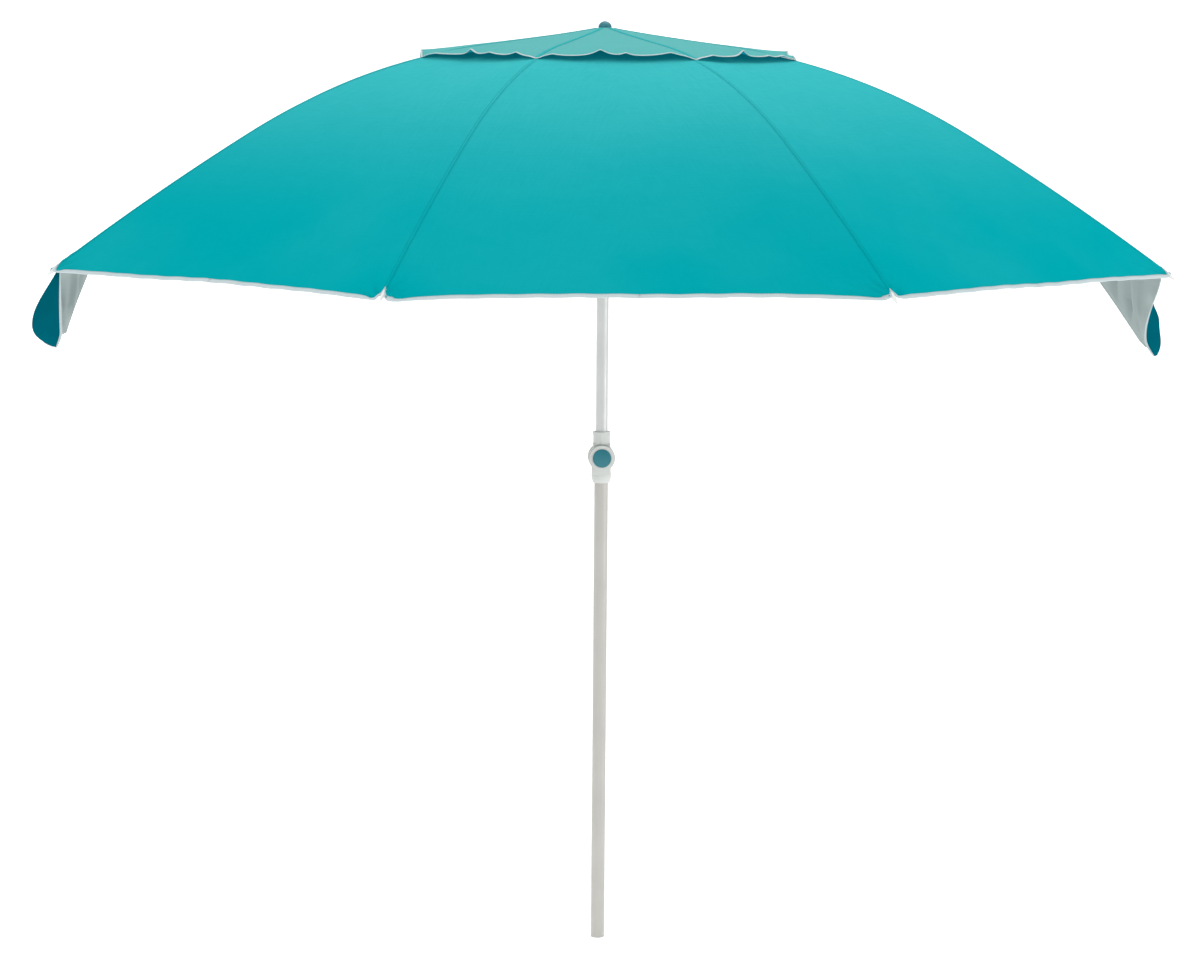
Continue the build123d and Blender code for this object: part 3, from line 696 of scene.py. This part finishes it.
def bound_edge(name, edge, downhill, finish, width, thickness=0.0011):
    """A binding round an edge line. Its profile goes up the outside of the cloth, round the edge, and
    back up the inside; each point is the edge plus so much downhill and so much outward."""
    along = np.gradient(edge, axis=0)
    outward = unit(np.cross(downhill, along))
    half = thickness / 2
    profile = np.array([
        (-width, half), (-width * 0.5, half * 1.25), (0.0, half * 1.1), (half, half * 0.4),
        (half * 1.2, -half * 0.3), (half, -half * 1.2), (0.0, -half * 1.8), (-width * 0.5, -half * 2.0),
        (-width, -half * 1.8), (-width, -half * 1.1), (-width * 0.9, -CLOTH * 0.5), (-width * 0.9, half * 0.2),
    ])
    points = (
        edge[:, None, :]
        + downhill[:, None, :] * profile[None, :, :1]
        + outward[:, None, :] * profile[None, :, 1:]
    )
    length = np.concatenate([[0], np.cumsum(np.linalg.norm(np.diff(edge, axis=0), axis=1))])
    turned = np.concatenate([profile[:, 0], profile[:1, 0]])
    uv = np.stack(np.broadcast_arrays(turned[None, :] + width * 0.8, length[:, None]), axis=-1)
    return strip_surface(name, points, uv, [finish])


for rib in range(RIBS):
    reach = panel_reach(74)
    end = hem_station(*split_reach(rib, reach))
    edge = cloth_point(rib, end, reach)
    above = cloth_point(rib, end - 0.004, reach)
    hem = bound_edge(f"canopy_hem_{rib + 1}", edge, unit(edge - above), binding, 0.0062, 0.0020)
    fold_with_rib(hem, rib)

# %% [markdown]
# ## The vent tier
# A second, smaller tier covers the hole at the top and lets the wind out under its free edge. It is
# tacked to the ribs, and between them the edge is slack: it lies in waves with one or two sharp
# pleats. Each wave is a height, a place across the gore and a width; the waves fade out quickly
# towards the middle.

# %% Vent surface
VENT_EYE = 0.008 - PIN_CIRCLE
VENT_EDGE = 0.3395
VENT_WAVES = {
    7: [(0.006, 0.10, 0.06), (0.015, 0.40, 0.055), (0.007, 0.56, 0.035), (0.011, 0.84, 0.09)],
    6: [(0.005, 0.12, 0.10), (0.014, 0.44, 0.035), (0.006, 0.60, 0.06), (0.009, 0.83, 0.05)],
    0: [(0.005, 0.16, 0.06), (0.016, 0.46, 0.04), (0.004, 0.72, 0.04), (0.006, 0.86, 0.05)],
}


def vent_waves(gore):
    """The waves of a gore's free edge; the gores without their own get three at places of their own."""
    phase = PHASES[gore] / (2 * math.pi)
    rest = [
        (0.005 + 0.004 * phase[0], 0.14 + 0.08 * phase[1], 0.06),
        (0.011 + 0.005 * phase[2], 0.42 + 0.12 * phase[3], 0.045),
        (0.006 + 0.004 * phase[4], 0.78 + 0.10 * phase[5], 0.07),
    ]
    return VENT_WAVES.get(gore, rest)


WAVE_SHARE = 0.66


def vent_lift(gore, across, share):
    """Height of the slack tier over its flat gore: a low billow, plus pleats that are sharp at the
    free edge, where each falls off as an exponential of the distance across."""
    lift = 0.0035 * 4 * across * (1 - across) * share
    tacked = 1 - np.exp(-((np.minimum(across, 1 - across) / 0.035) ** 2))
    lift = lift + 0.0022 * tacked * share**6
    for tall, place, wide in vent_waves(gore):
        peak = np.exp(-((np.abs(across - place) / wide) ** 1.3))
        lift = lift + WAVE_SHARE * tall * tacked * share**7 * peak
    return lift


def vent_ridge(station):
    """The tier's line over a rib: just above the canopy's, rising a little more towards the finial."""
    distance, height, slope = ridge_line(station)
    return distance, height + 0.0016 + 0.0034 * np.exp(-(station - VENT_EYE) / 0.055), slope


def vent_point(rib, share, reach):
    """A point of the vent tier at a share of the way out from the eye and a reach to either side."""
    distance, height, slope = vent_ridge(VENT_EYE + share * (VENT_EDGE - VENT_EYE))
    before = reach < 0
    lifts = [
        vent_lift((rib - 1) % RIBS, 1 + reach / 2, share),
        vent_lift(rib, reach / 2, share),
    ]
    gore, across = split_reach(rib, reach)
    flat = gore_frame(gore, across, distance, height)
    return flat + np.where(before, *lifts)[..., None] * np.array([0.0, 0.0, 1.0])


# %% Vent tier
for rib in range(RIBS):
    share = (1 - eased(56, 1.3)[::-1])[:, None]
    reach = panel_reach(52)[None, :]
    points = vent_point(rib, share, reach)
    width = 2 * vent_ridge(VENT_EYE + share * (VENT_EDGE - VENT_EYE))[0] * math.sin(HALF_STEP)
    uv = np.stack(np.broadcast_arrays(reach / 2 * width, share * (VENT_EDGE - VENT_EYE)), axis=-1)
    vent = sheet_surface(f"vent_{rib + 1}", points, uv, [vent_outside_highlight, vent_inside_glowing])
    thicken(vent, CLOTH, inside=1)
    fold_with_rib(vent, rib)
    edge = points[-1]
    edge_way = unit(points[-1] - points[-3])
    rim = bound_edge(f"vent_rim_{rib + 1}", edge, edge_way, binding, 0.0030, 0.0010)
    fold_with_rib(rim, rib)
    offset = np.linspace(-0.0032, 0.0032, 7)[None, :]
    station = np.linspace(0.03, 0.985, 60)[:, None]
    seam_width = 2 * vent_ridge(VENT_EYE + station * (VENT_EDGE - VENT_EYE))[0] * math.sin(HALF_STEP)
    raised = vent_point(rib, station, 2 * offset / seam_width) + np.array([0.0, 0.0, 0.0007])
    seam_uv = np.stack(np.broadcast_arrays(offset, station * 0.35), axis=-1)
    tack = sheet_surface(f"vent_seam_{rib + 1}", raised, seam_uv, [seam_cloth])
    thicken(tack, 0.0006)
    fold_with_rib(tack, rib)
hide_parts("vent_canopy")

# %% [markdown]
# ## Side flaps
# A three-cornered flap hangs from the hem of each side gore as a shade against low sun. Its front edge
# falls straight, its rear edge slants, and its lower corner is rounded. The front strip of the cloth
# billows outwards and comes back in at its free edge, so that the dyed face shows there in the shape
# of a leaf. The section at each height is worked out from the cloth's own length: going along the
# cloth, the step outwards is the slope of the billow, and the step backwards is whatever is left, so
# the cloth keeps its length but for a little give in the steepest places.

# %% Flap surface
FLAP_WIDTH = 0.762
REAR_CORNER = 0.045
FRONT_CORNER = 0.024
LEAD_STEPS = 12
LEAST_STEP = 0.12


def between(value, start, end):
    """A soft step: 0 before start, 1 after end, and half a cosine between them."""
    return 0.5 - 0.5 * np.cos(math.pi * np.clip((value - start) / (end - start), 0, 1))


def rounding(fall):
    """How a billow closes at the bottom: a quarter of an ellipse over the last quarter of the drop."""
    return np.sqrt(1 - 0.8 * np.clip((fall - 0.74) / 0.26, 0, 1) ** 2)


def rear_edge(fall, corner):
    """Length of the cloth from its front edge to its rear edge at a share of the drop: a straight
    slant down to the corner, which is rounded."""
    straight = (FLAP_WIDTH - corner) * (1 - fall) + corner
    return straight - max(corner - REAR_CORNER, 0) * between(fall, 0.88, 1.0)


def front_edge(fall):
    """Where the front edge starts along the cloth: straight down, then rounding into the corner."""
    bend = np.clip((fall - 0.80) / 0.20, 0, 1)
    return FRONT_CORNER * (1 - np.sqrt(1 - bend**2))


def section(length, fall, shape):
    """How far the flap stands out from its plane, at a length along the cloth and a share of the
    drop: a billow that rises as a quarter sine and dies away as a squared cosine, an inset of the
    front edge that fades along the cloth, and soft upright folds, each a bell curve."""
    swell, inset, folds = shape["swell"](fall), shape["inset"](fall), shape["folds"]
    rising = np.sin(np.clip(length / shape["rise"], 0, 1) * math.pi / 2)
    falling = np.cos(np.clip((length - shape["rise"]) / shape["run"], 0, 1) * math.pi / 2) ** 2
    outward = swell * np.where(length < shape["rise"], rising, falling)
    outward = outward - inset * np.exp(-length / (0.16 * (1 - fall) + 0.034))
    away_from_edge = np.clip((1.08 - fall) * 6 - length * 9, 0, 1)
    grown = np.sin(math.pi * np.clip(fall * 0.9 + 0.18, 0, 1)) * away_from_edge
    for place, drift, wide, deep in folds:
        outward = outward + deep * grown * np.exp(-(((length - place - drift * fall) / wide) ** 2))
    return outward


def flap_points(side, hem, fall, across, shape):
    """Points of a flap. Going along the cloth, the step backwards is what the step outwards leaves of
    the cloth's own length, and never under LEAST_STEP of it, so the cloth gives a little only in the
    steepest places; side is 1 on the right and -1 on the left."""
    start = front_edge(fall)
    length = start + (rear_edge(fall, shape["corner"]) - start) * across
    lead = start * np.linspace(0, 1, LEAD_STEPS)[None, :]
    whole = np.concatenate([lead, length[:, 1:]], axis=1)
    outward = section(whole, fall, shape)
    steps = np.diff(whole, axis=1)
    left_over = steps**2 - np.diff(outward, axis=1) ** 2
    back_steps = np.sqrt(np.maximum(left_over, (LEAST_STEP * steps) ** 2))
    back = np.concatenate([0 * start, np.cumsum(back_steps, axis=1)], axis=1)[:, LEAD_STEPS - 1 :]
    x = side * (hem[0] + outward[:, LEAD_STEPS - 1 :])
    z = hem[2] - shape["drop"] * fall + 0 * back
    uv = np.stack([length, np.broadcast_to(shape["drop"] * fall, length.shape)], axis=-1)
    return np.stack([x, hem[1] + back, z], axis=-1), uv


# %% Side flaps
hem_middle = ridge_line(CORNER_STATION)
HEM_X = float(hem_middle[0]) * math.cos(HALF_STEP)
HEM_HALF = float(hem_middle[0]) * math.sin(HALF_STEP)
HEM_Z = float(hem_middle[1])
FLAPS = {
    "right": {
        "side": 1, "gore": 1, "corner": 0.105, "rise": 0.060, "run": 0.054, "drop": 0.148,
        "swell": lambda fall: 0.022 * between(fall, 0.25, 0.62) * rounding(fall),
        "inset": lambda fall: 0.027 * between(fall, 0.0, 0.75) - 0.006 * between(fall, 0.75, 1.0),
        "folds": [(0.15, -0.03, 0.014, -0.009), (0.21, -0.04, 0.020, 0.011),
                  (0.31, -0.07, 0.028, 0.014), (0.45, -0.12, 0.036, 0.011)],
    },
    "left": {
        "side": -1, "gore": 6, "corner": 0.045, "rise": 0.076, "run": 0.074, "drop": 0.139,
        "swell": lambda fall: 0.053 * between(fall, -0.22, 0.74) * rounding(fall),
        "inset": lambda fall: 0.002 * fall,
        "folds": [(0.20, -0.03, 0.014, -0.012), (0.30, -0.05, 0.026, 0.015),
                  (0.45, -0.10, 0.036, 0.011)],
    },
}

for name, shape in FLAPS.items():
    side = shape["side"]
    fall = 1 - eased(64, 1.5)[::-1][:, None]
    across = eased(120, 1.25)[None, :]
    hem = (HEM_X - 0.0015, -HEM_HALF + 0.006, HEM_Z - 0.003)
    points, uv = flap_points(side, hem, fall, across, shape)
    if side < 0:
        points, uv = points[:, ::-1], uv[:, ::-1]
    flap = sheet_surface(f"flap_{name}_cloth", points, uv, [flap_outside_shaded, cloth_inside])
    thicken(flap, CLOTH, inside=1)
    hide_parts(f"flap_{name}")
    free = points[:, -1] if side < 0 else points[:, 0]
    rear = points[:, 0] if side < 0 else points[:, -1]
    inner = points[:, -3] if side < 0 else points[:, 2]
    inner_rear = points[:, 3] if side < 0 else points[:, -4]
    trim = [
        bound_edge(f"flap_{name}_front_trim", free, unit(free - inner), binding, 0.0035, 0.0010),
        bound_edge(
            f"flap_{name}_rear_trim", rear[::-1], unit(rear - inner_rear)[::-1], binding,
            0.0035, 0.0010,
        ),
    ]
    for piece in [flap, *trim]:
        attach(piece, f"flap_{name}")
        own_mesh(piece)

# %% [markdown]
# ## The cut of the cloth
# A panel is a trapezoid as wide at the hem as one gore, a vent wedge is nearly a triangle, and a
# flap is a triangle with a rounded corner.

# %% [markdown]
# ## Floor, backdrop and light
# The umbrella stands on a pale floor that curves up far behind it, so no horizon shows. The curve
# starts well beyond any viewing distance, so the umbrella can also be seen from the back. Area lights
# give soft shadows: one high in front on the left, one long strip on the right that draws the bright
# line down the poles, and a pale world fills the rest.

# %% Backdrop
FLOOR_REACH = 30.0
SWEEP_START = 20.0
SWEEP_RADIUS = 3.0

turn = np.linspace(0, math.pi / 2, 24)
curve = SWEEP_START + SWEEP_RADIUS * np.sin(turn)
depth = np.concatenate([[-FLOOR_REACH], curve, [SWEEP_START + SWEEP_RADIUS]])
rise = np.concatenate([[0], SWEEP_RADIUS * (1 - np.cos(turn)), [FLOOR_REACH]])
side = np.array([-FLOOR_REACH, FLOOR_REACH])
sweep = np.stack(
    [
        np.broadcast_to(side[None, :], (len(depth), 2)),
        np.broadcast_to(depth[:, None], (len(depth), 2)),
        np.broadcast_to(rise[:, None], (len(depth), 2)),
    ],
    axis=-1,
)
studio, studio_tree, studio_shader = new_material("studio paper")
paper = use_group(studio_tree, patina, Patch_size=0.6)
studio_tree.links.new(
    mix_colour(studio_tree, paper["Patches"], (0.93, 0.93, 0.93, 1), (0.95, 0.95, 0.95, 1)),
    studio_shader.inputs["Base Color"],
)
studio_shader.inputs["Roughness"].default_value = 0.9
studio_shader.inputs["Emission Color"].default_value = (1, 1, 1, 1)
studio_shader.inputs["Emission Strength"].default_value = 0.5
sweep_faces = grid_quads(*sweep.shape[:2])[:, ::-1].tolist()
backdrop = make_object("studio_backdrop", sweep, sweep_faces, [studio])

# %% Lights


def area_light(name, place, target, size, power, colour=(1, 1, 1)):
    """A rectangular light at a place, facing a target."""
    light = bpy.data.lights.new(name, "AREA")
    light.shape = "RECTANGLE"
    light.size, light.size_y = size
    light.energy = power
    light.color = colour
    lamp = bpy.data.objects.new(name, light)
    direction = np.array(target, float) - np.array(place, float)
    heading = math.atan2(direction[1], direction[0]) - math.pi / 2
    dip = math.atan2(direction[2], math.hypot(direction[0], direction[1]))
    lamp.location = place
    lamp.rotation_euler = (math.pi / 2 + dip, 0, heading)
    bpy.context.scene.collection.objects.link(lamp)
    return lamp


area_light("key", (-2.6, -3.4, 4.2), (0, 0, 1.3), (3.0, 3.0), 75)
area_light("strip", (3.4, -1.6, 1.6), (0, 0, 1.0), (0.5, 3.0), 28)
area_light("overhead", (0.6, 0.4, 4.6), (0, 0, 1.4), (3.5, 3.5), 55)
world = bpy.data.worlds.new("studio air")
bpy.context.scene.world = world
world.use_nodes = True
world.node_tree.nodes["Background"].inputs["Color"].default_value = (1, 1, 1, 1)
world.node_tree.nodes["Background"].inputs["Strength"].default_value = 0.62
